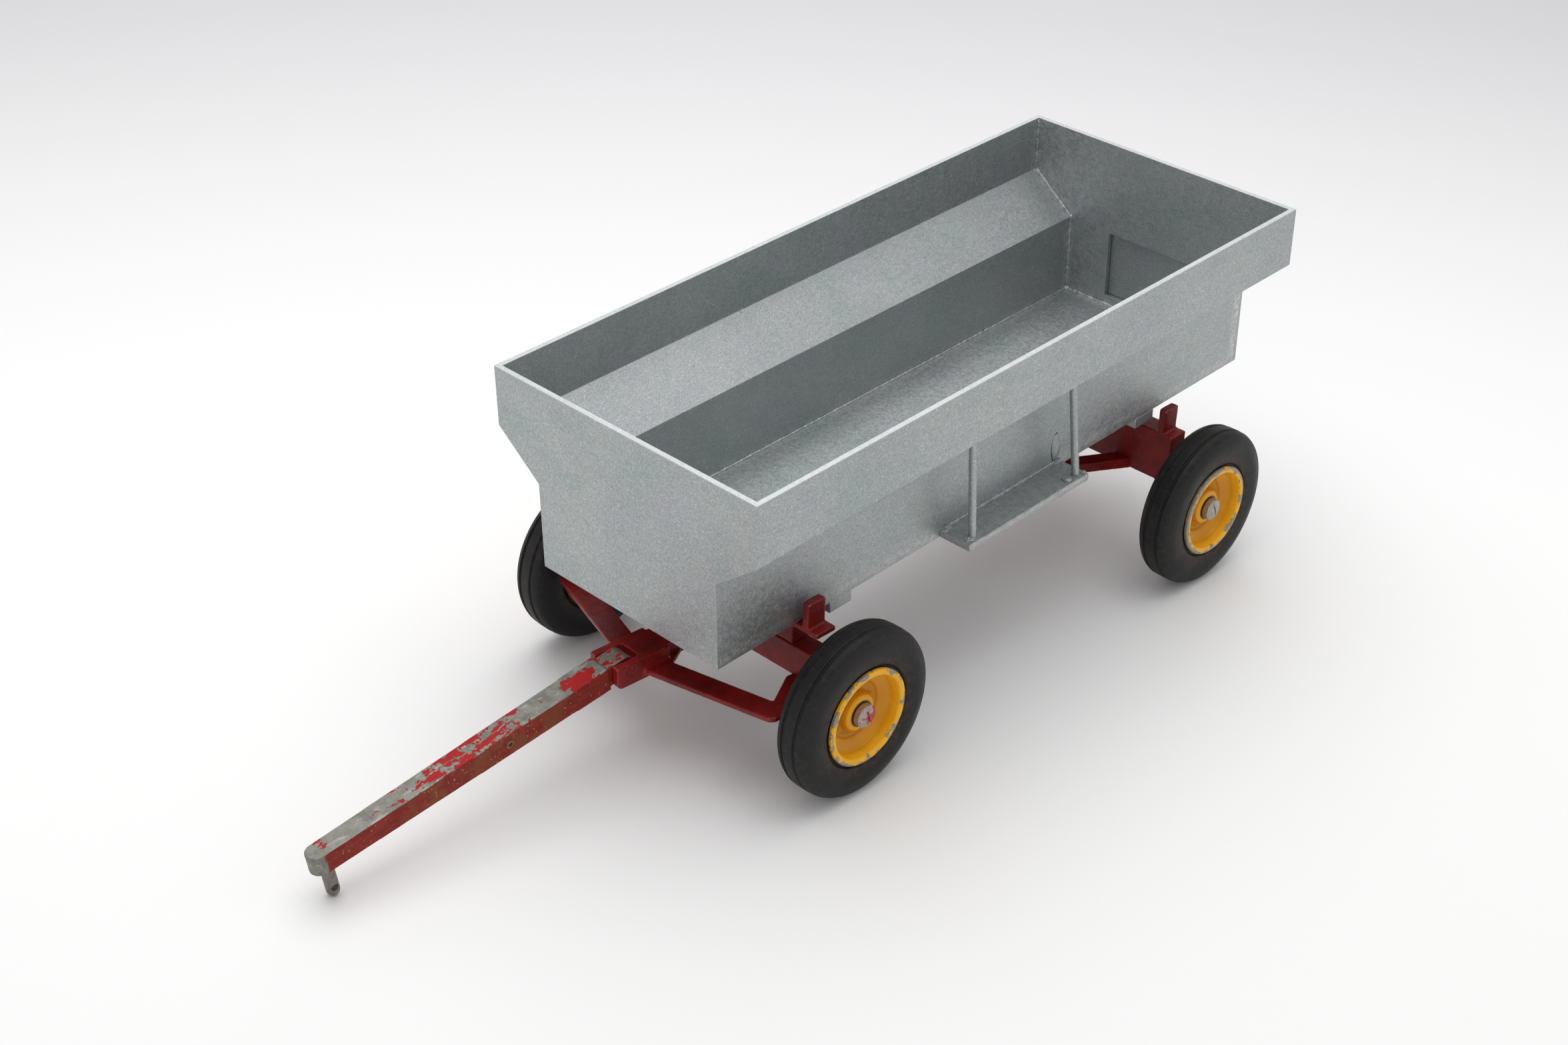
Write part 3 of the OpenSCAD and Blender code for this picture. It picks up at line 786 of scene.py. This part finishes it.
def add_bead(bm, start, end, radius, seed, lumpy=0.35):
    """Adds an uneven run of solder between two points."""
    start, end = Vector(start), Vector(end)
    along = end - start
    count = max(4, int(along.length / (0.45 * MM)))
    sides = 9
    across = along.orthogonal().normalized()
    other = along.normalized().cross(across)
    shift = Vector((seed * 3.7, seed * 1.9, seed * 5.3))
    rings = []
    for i in range(count + 1):
        middle = start + along * (i / count)
        swell = 1 + lumpy * noise.noise(middle / (1.9 * MM) + shift)
        swell += 0.6 * lumpy * noise.noise(middle / (0.8 * MM) + shift)
        swell *= min(1.0, 0.35 + 0.3 * min(i, count - i))
        ring = []
        for s in range(sides):
            turn = math.tau * s / sides
            out = across * math.cos(turn) + other * math.sin(turn)
            ring.append(bm.verts.new(middle + out * radius * swell))
        rings.append(ring)
    for ring, following in zip(rings, rings[1:]):
        for s in range(sides):
            t = (s + 1) % sides
            bm.faces.new((ring[s], ring[t], following[t], following[s]))
    bm.faces.new(rings[0][::-1])
    bm.faces.new(rings[-1])


def add_blob(bm, centre, size, seed, lumpy=0.22):
    """Adds a lump of solder or filler."""
    centre, size = Vector(centre), Vector(size)
    made = bmesh.ops.create_icosphere(bm, subdivisions=4, radius=1)["verts"]
    shift = Vector((seed * 2.3, seed * 4.1, seed * 1.3))
    for vertex in made:
        swell = 1 + lumpy * noise.noise(vertex.co * 1.6 + shift)
        swell += 0.5 * lumpy * noise.noise(vertex.co * 3.7 + shift)
        vertex.co = centre + Vector([a * b for a, b in zip(vertex.co, size)]) * swell


# ---------- grain box ----------

_, SIDE_HI = extent("side_sheet_left", BOX)
_, FLOOR_HI = extent("floor_sheet", BOX)
SHEET = FLOOR_HI.z
HALF_LENGTH = SIDE_HI.y
RIM_Z = SIDE_HI.z
LEVELS = sorted({round(p.z, 5) for p in node_points("side_sheet_left", BOX)})
WALL_TOP, INNER_WALL_TOP, SLOPE_TOP, INNER_SLOPE_TOP = LEVELS[1:5]
FLOOR_X = FLOOR_HI.x + SHEET
RIM_X = SIDE_HI.x
IN_FLOOR_X = FLOOR_HI.x
IN_RIM_X = RIM_X - SHEET
IN_HALF_LENGTH = HALF_LENGTH - SHEET


def box_shell():
    """The five sheets as one folded and soldered shell, without its gate opening."""
    bm = bmesh.new()
    levels = [
        (FLOOR_X, HALF_LENGTH, 0), (FLOOR_X, HALF_LENGTH, WALL_TOP),
        (RIM_X, HALF_LENGTH, SLOPE_TOP), (RIM_X, HALF_LENGTH, RIM_Z),
        (IN_RIM_X, IN_HALF_LENGTH, RIM_Z), (IN_RIM_X, IN_HALF_LENGTH, INNER_SLOPE_TOP),
        (IN_FLOOR_X, IN_HALF_LENGTH, INNER_WALL_TOP), (IN_FLOOR_X, IN_HALF_LENGTH, SHEET),
    ]
    corners = ((-1, -1), (1, -1), (1, 1), (-1, 1))
    rings = [[bm.verts.new((sx * x, sy * y, z)) for sx, sy in corners] for x, y, z in levels]
    for ring, following in zip(rings, rings[1:]):
        for i in range(4):
            j = (i + 1) % 4
            bm.faces.new((ring[i], ring[j], following[j], following[i]))
    bm.faces.new(rings[0][::-1])
    bm.faces.new(rings[-1])
    return bm


def gate_opening():
    """Lowest and highest corner of the discharge opening in the rear panel."""
    inside = [
        p for p in node_points("end_panel_rear", BOX)
        if abs(p.x) < IN_FLOOR_X - SHEET and SHEET < p.z < SLOPE_TOP
    ]
    columns = list(zip(*inside))
    return Vector([min(c) for c in columns]), Vector([max(c) for c in columns])


def shell_rounding(a, b):
    """Rounding of one edge of the shell."""
    inner = max(abs(a.y), abs(b.y)) < HALF_LENGTH - SHEET / 2
    if min(a.z, b.z) > RIM_Z - SHEET / 2:
        return RIM_ROUND
    if abs(a.x) < IN_FLOOR_X - SHEET and abs(b.x) < IN_FLOOR_X - SHEET:
        return RIM_ROUND
    lengthways = abs(a.y - b.y) > HALF_LENGTH
    bent = min(a.z, b.z) > SHEET + WELD and abs(a.z - b.z) < WELD
    if lengthways and bent:
        return BEND_ROUND
    return INNER_FILLET if inner else CORNER_ROUND


def opening_cutter():
    """Block that passes through the rear panel at the discharge opening."""
    lo, hi = gate_opening()
    bm = bmesh.new()
    bmesh.ops.create_cube(bm, size=1)
    for vertex in bm.verts:
        vertex.co = Vector((
            vertex.co.x * (hi.x - lo.x),
            HALF_LENGTH - SHEET / 2 + vertex.co.y * 3 * SHEET,
            (lo.z + hi.z) / 2 + vertex.co.z * (hi.z - lo.z),
        ))
    mesh = bpy.data.meshes.new("opening")
    bm.to_mesh(mesh)
    bm.free()
    cutter = bpy.data.objects.new("opening", mesh)
    bpy.context.scene.collection.objects.link(cutter)
    cutter.matrix_world = BOX
    return cutter


def cut_by(made, cutter):
    """Cuts the cutter out of the piece, removes it and tidies the cut's faces."""
    cut = made.modifiers.new("opening", "BOOLEAN")
    cut.operation = "DIFFERENCE"
    cut.solver = "EXACT"
    cut.object = cutter
    applied(made)
    mesh = cutter.data
    bpy.data.objects.remove(cutter)
    bpy.data.meshes.remove(mesh)
    bm = bmesh.new()
    bm.from_mesh(made.data)
    bmesh.ops.remove_doubles(bm, verts=bm.verts, dist=WELD)
    merge_flats(bm)
    bm.to_mesh(made.data)
    bm.free()
    made.data.shade_smooth()


def grain_box(paint):
    """Folded shell with soft bends, fillets inside and a gate opening."""
    sheets = (
        "floor_sheet", "side_sheet_left", "side_sheet_right", "end_panel_front", "end_panel_rear",
    )
    shell = piece("grain_box", box_shell(), BOX, "wagon", paint, sheets)
    cut_by(shell, opening_cutter())
    rounded_by(shell, shell_rounding, INNER_FILLET)


def box_beads(paint):
    """Solder runs in the inner corners, thicker and rougher at the rear."""
    bm = bmesh.new()
    seed = 1
    y_end, x_low, x_high = IN_HALF_LENGTH, IN_FLOOR_X, IN_RIM_X
    for side in (-1, 1):
        add_bead(bm, (side * x_low, -y_end, SHEET), (side * x_low, y_end, SHEET), 0.55 * MM, seed)
        seed += 1
        for end in (-1, 1):
            y = end * y_end
            thick = 0.62 * MM if end > 0 else 0.45 * MM
            corners = (
                (side * x_low, y, SHEET), (side * x_low, y, INNER_WALL_TOP),
                (side * x_high, y, INNER_SLOPE_TOP), (side * x_high, y, RIM_Z - RIM_ROUND * 2),
            )
            for start, stop in zip(corners, corners[1:]):
                add_bead(bm, start, stop, thick, seed)
                seed += 1
            add_blob(bm, (side * x_low, y, SHEET + 0.2 * MM), mm(1.3, 1.2, 1.0), seed)
            add_blob(bm, (side * x_low, y, INNER_WALL_TOP), mm(0.9, 0.8, 1.0), seed + 40)
    for end in (-1, 1):
        add_bead(bm, (-x_low, end * y_end, SHEET), (x_low, end * y_end, SHEET), 0.5 * MM, seed)
        seed += 1
    piece("box_solder", bm, BOX, "wagon", paint)


def tray_parts(paint):
    """Side tray with its rods, the solder that holds them and the lumps at its ends."""
    softened("tray", BOX, "wagon", paint, 0.5 * MM)
    lo, hi = extent("tray", BOX)
    bm = bmesh.new()
    add_bead(bm, (lo.x, lo.y + MM, hi.z), (lo.x, hi.y - MM, hi.z), 0.65 * MM, 31, 0.7)
    add_tray_lumps(bm, lo, hi)
    for number, node in enumerate(("rod_front", "rod_rear")):
        rod_lo, rod_hi = extent(node, BOX)
        casting(node, (node,), BOX, "wagon", paint, ROD_VOXEL, 1, 0.05 * MM, ROD_COAT)
        middle_x = (rod_lo.x + rod_hi.x) / 2
        foot = (middle_x, rod_lo.y + 1.1 * MM, hi.z + 0.1 * MM)
        add_blob(bm, foot, mm(1.75, 1.7, 0.75), 11 + number)
        head = (middle_x, rod_hi.y - 1.1 * MM, rod_hi.z - 0.7 * MM)
        add_blob(bm, head, mm(1.7, 1.6, 0.9), 15 + number)
    smear = (FLOOR_X, hi.y - 2.2 * MM, hi.z + 5.5 * MM)
    add_blob(bm, smear, mm(0.65, 2.2, 5.0), 21, 0.3)
    piece("tray_solder", bm, BOX, "wagon", paint)


def add_tray_lumps(bm, lo, hi):
    """Lumps along the wall at both ends of the tray, and at its rear outer corner."""
    wall, lip, front, rear, top = lo.x, hi.x, lo.y, hi.y, hi.z
    add_blob(bm, (wall + 0.5 * MM, front + 2.2 * MM, top), mm(1.5, 2.6, 0.9), 5)
    add_blob(bm, (wall + 0.4 * MM, rear - 1.6 * MM, top), mm(1.3, 1.9, 0.8), 6)
    add_blob(bm, (wall + 0.9 * MM, front + 0.9 * MM, top), mm(1.9, 0.9, 0.8), 7, 0.35)
    add_blob(bm, (lip - 1.2 * MM, rear - 0.9 * MM, lo.z + 0.2 * MM), mm(1.0, 1.0, 0.9), 8, 0.4)
    add_blob(bm, (lip - 1.6 * MM, rear - 1.0 * MM, top), mm(1.2, 0.9, 0.5), 9, 0.4)


def box_trim(paint):
    """Sills, gate, guides and handle with softened edges."""
    for node in ("sill_front", "sill_rear", "gate_guide_left", "gate_guide_right", "gate_stop"):
        softened(node, BOX, "wagon", paint, SMALL_ROUND)
    softened("gate_plate", BOX, "gate", paint, 0.25 * MM)
    handle = ("gate_handle",)
    casting("gate_handle", handle, BOX, "gate", paint, ROD_VOXEL, 2, 0.01 * MM)


# ---------- running gear ----------

FUSED_CASTINGS = (
    ("rear_axle_casting", "wagon", ("bolster_rear", "posts_rear", "lugs_rear")),
    ("front_bolster_casting", "wagon", ("bolster_front", "posts_front")),
    ("reach_casting", "wagon", ("reach", "hound_left", "hound_right")),
    ("front_beam_casting", "front_axle", ("beam_front", "lugs_front")),
)


def running_gear(red, zinc):
    """Rounded red castings, saddle blocks, and the pins of the tongue and the front axle."""
    for name, body, nodes in FUSED_CASTINGS:
        casting(name, nodes, GEAR, body, red)
    casting("steering_casting", ("steering_casting",), YOKE, "front_axle", red)
    for node in ("saddle_front", "saddle_rear"):
        softened(node, GEAR, "wagon", red, SMALL_ROUND)
    softened("tongue_pin", YOKE, "front_axle", red, 0.2 * MM)
    softened("kingpin", GEAR, "wagon", zinc, 0.3 * MM)


def tongue_parts(enamel, zinc):
    casting("tongue", ("tongue",), TONGUE, "tongue", enamel, TONGUE_VOXEL)
    pin = ("hitch_pin",)
    casting("hitch_pin", pin, TONGUE, "tongue", zinc, PIN_VOXEL, 2, 0.02 * MM)


# ---------- wheels ----------

def tyre_outline(outer, half):
    """Closed outline of a tyre, in mm: rounded shoulders, two thin grooves, a lip at the rim."""
    groove, width, depth = 2.4, 1.3, 0.75
    bore, bore_half = 14.8, 5.1
    sides = []
    for s in (1, -1):
        sides.append([
            (outer, s * (groove - width / 2), 0.3),
            (outer - depth, s * (groove - 0.25 * width), 0.3),
            (outer - depth, s * (groove + 0.25 * width), 0.3),
            (outer - 0.05, s * (groove + width / 2), 0.3),
            (outer - 0.9, s * (half - 1.5), 2.0),
            (outer - 4.6, s * half, 2.6),
            (20.5, s * (half - 0.1), 2.0),
            (17.3, s * (half - 0.7), 0.9),
            (16.9, s * (half - 1.5), 0.3),
        ])
    left, right = sides
    return rounded_outline(right[::-1] + left + [(bore, bore_half, 0.0), (bore, -bore_half, 0.0)])


def rim_outline():
    """Closed outline of a rim, in mm: flat flange, deep dish and raised hub."""
    bore, hub, barrel, seat, flange = 2.1, 6.0, 12.8, 14.8, 16.2
    hub_back, inner_face, seat_half, disc_back = -6.6, -6.4, 5.4, -2.0
    dish_floor, hub_face, outer_face = 0.2, 3.5, 6.7
    inner_side = [
        (bore, hub_back, 0), (hub, hub_back, 0.3), (hub, disc_back, 0.5), (12.4, disc_back, 0.6),
        (barrel, -seat_half, 0.3), (barrel, inner_face, 0.2), (flange, inner_face, 0.3),
        (flange, -seat_half, 0.2), (seat, -seat_half, 0.2),
    ]
    outer_side = [
        (seat, seat_half, 0.2), (flange, seat_half, 0.2), (flange, outer_face, 0.7),
        (14.0, outer_face, 0.8), (13.3, 2.4, 1.0), (9.8, 1.2, 0.5), (9.2, dish_floor, 0.4),
        (6.6, dish_floor, 0.6), (hub, 3.1, 0.5), (4.5, hub_face, 0.3), (bore, hub_face, 0),
    ]
    return rounded_outline(inner_side + outer_side)


def wheels(rubber):
    enamels = {
        "front": rim_enamel("rim_enamel_front", 0.16),
        "rear": rim_enamel("rim_enamel_rear", 0.23),
    }
    for corner in WHEELS:
        at = wheel_frame(corner)
        body, tyre, rim = "wheel_" + corner, "tyre_" + corner, "rim_" + corner
        _, hi = extent(tyre, at)
        tread = lathe(tyre_outline(hi.z / MM, hi.x / MM), TYRE_STEPS)
        piece(tyre, tread, at, body, rubber, (tyre,))
        enamel = enamels[corner.split("_")[0]]
        piece(rim, lathe(rim_outline(), RIM_STEPS), at, body, enamel, (rim,))


def axle_pins():
    """Pins with pinkish heads at the front and grey ones at the rear."""
    pink = axle_metal("axle_steel_front", PINK_STEEL_DARK, PINK_STEEL_LIGHT, 0.53)
    grey = axle_metal("axle_steel_rear", GREY_STEEL_DARK, GREY_STEEL_LIGHT, 0.66)
    softened("axle_pins_front", GEAR, "front_axle", pink, 0.12 * MM, 35, 2)
    softened("axle_pins_rear", GEAR, "wagon", grey, 0.12 * MM, 35, 2)


# ---------- studio ----------

def studio(paper):
    bpy.ops.mesh.primitive_plane_add(size=FLOOR_SIZE, location=(0, 0, cad_box[0].z))
    floor = bpy.context.object
    floor.name = "studio_floor"
    floor.data.materials.append(paper)

    world = bpy.data.worlds.new("studio_world")
    world.use_nodes = True
    background = world.node_tree.nodes["Background"]
    background.inputs["Color"].default_value = WORLD_COLOUR
    background.inputs["Strength"].default_value = WORLD_STRENGTH
    bpy.context.scene.world = world

    add_softbox("top_light", **TOP_LIGHT)
    add_softbox("back_light", **BACK_LIGHT)


def add_softbox(name, place, target, size, power):
    data = bpy.data.lights.new(name, "AREA")
    data.shape = "RECTANGLE"
    data.size, data.size_y = size
    data.energy = power
    lamp = bpy.data.objects.new(name, data)
    bpy.context.scene.collection.objects.link(lamp)
    lamp.location = place
    aim = Vector(target) - Vector(place)
    lamp.rotation_euler = aim.to_track_quat("-Z", "Y").to_euler()


def camera():
    data = bpy.data.cameras.new("camera")
    data.lens = CAMERA_LENS
    data.sensor_width = SENSOR_WIDTH
    made = bpy.data.objects.new("camera", data)
    bpy.context.scene.collection.objects.link(made)
    turn = Matrix((CAMERA_RIGHT, CAMERA_RIGHT.cross(CAMERA_FORWARD), -CAMERA_FORWARD)).transposed()
    made.matrix_world = turn.to_4x4()
    made.location = Vector((PIVOT.x, PIVOT.y, 0)) + CAMERA_OFFSET
    bpy.context.scene.camera = made


def build():
    bpy.context.scene.view_settings.view_transform = "Standard"
    silver = silver_paint()
    red = red_enamel()
    zinc = dull_zinc()
    grain_box(silver)
    box_beads(silver)
    tray_parts(silver)
    box_trim(silver)
    running_gear(red, zinc)
    tongue_parts(tongue_enamel(), zinc)
    wheels(tyre_rubber())
    axle_pins()
    studio(floor_paper())
    camera()


build()
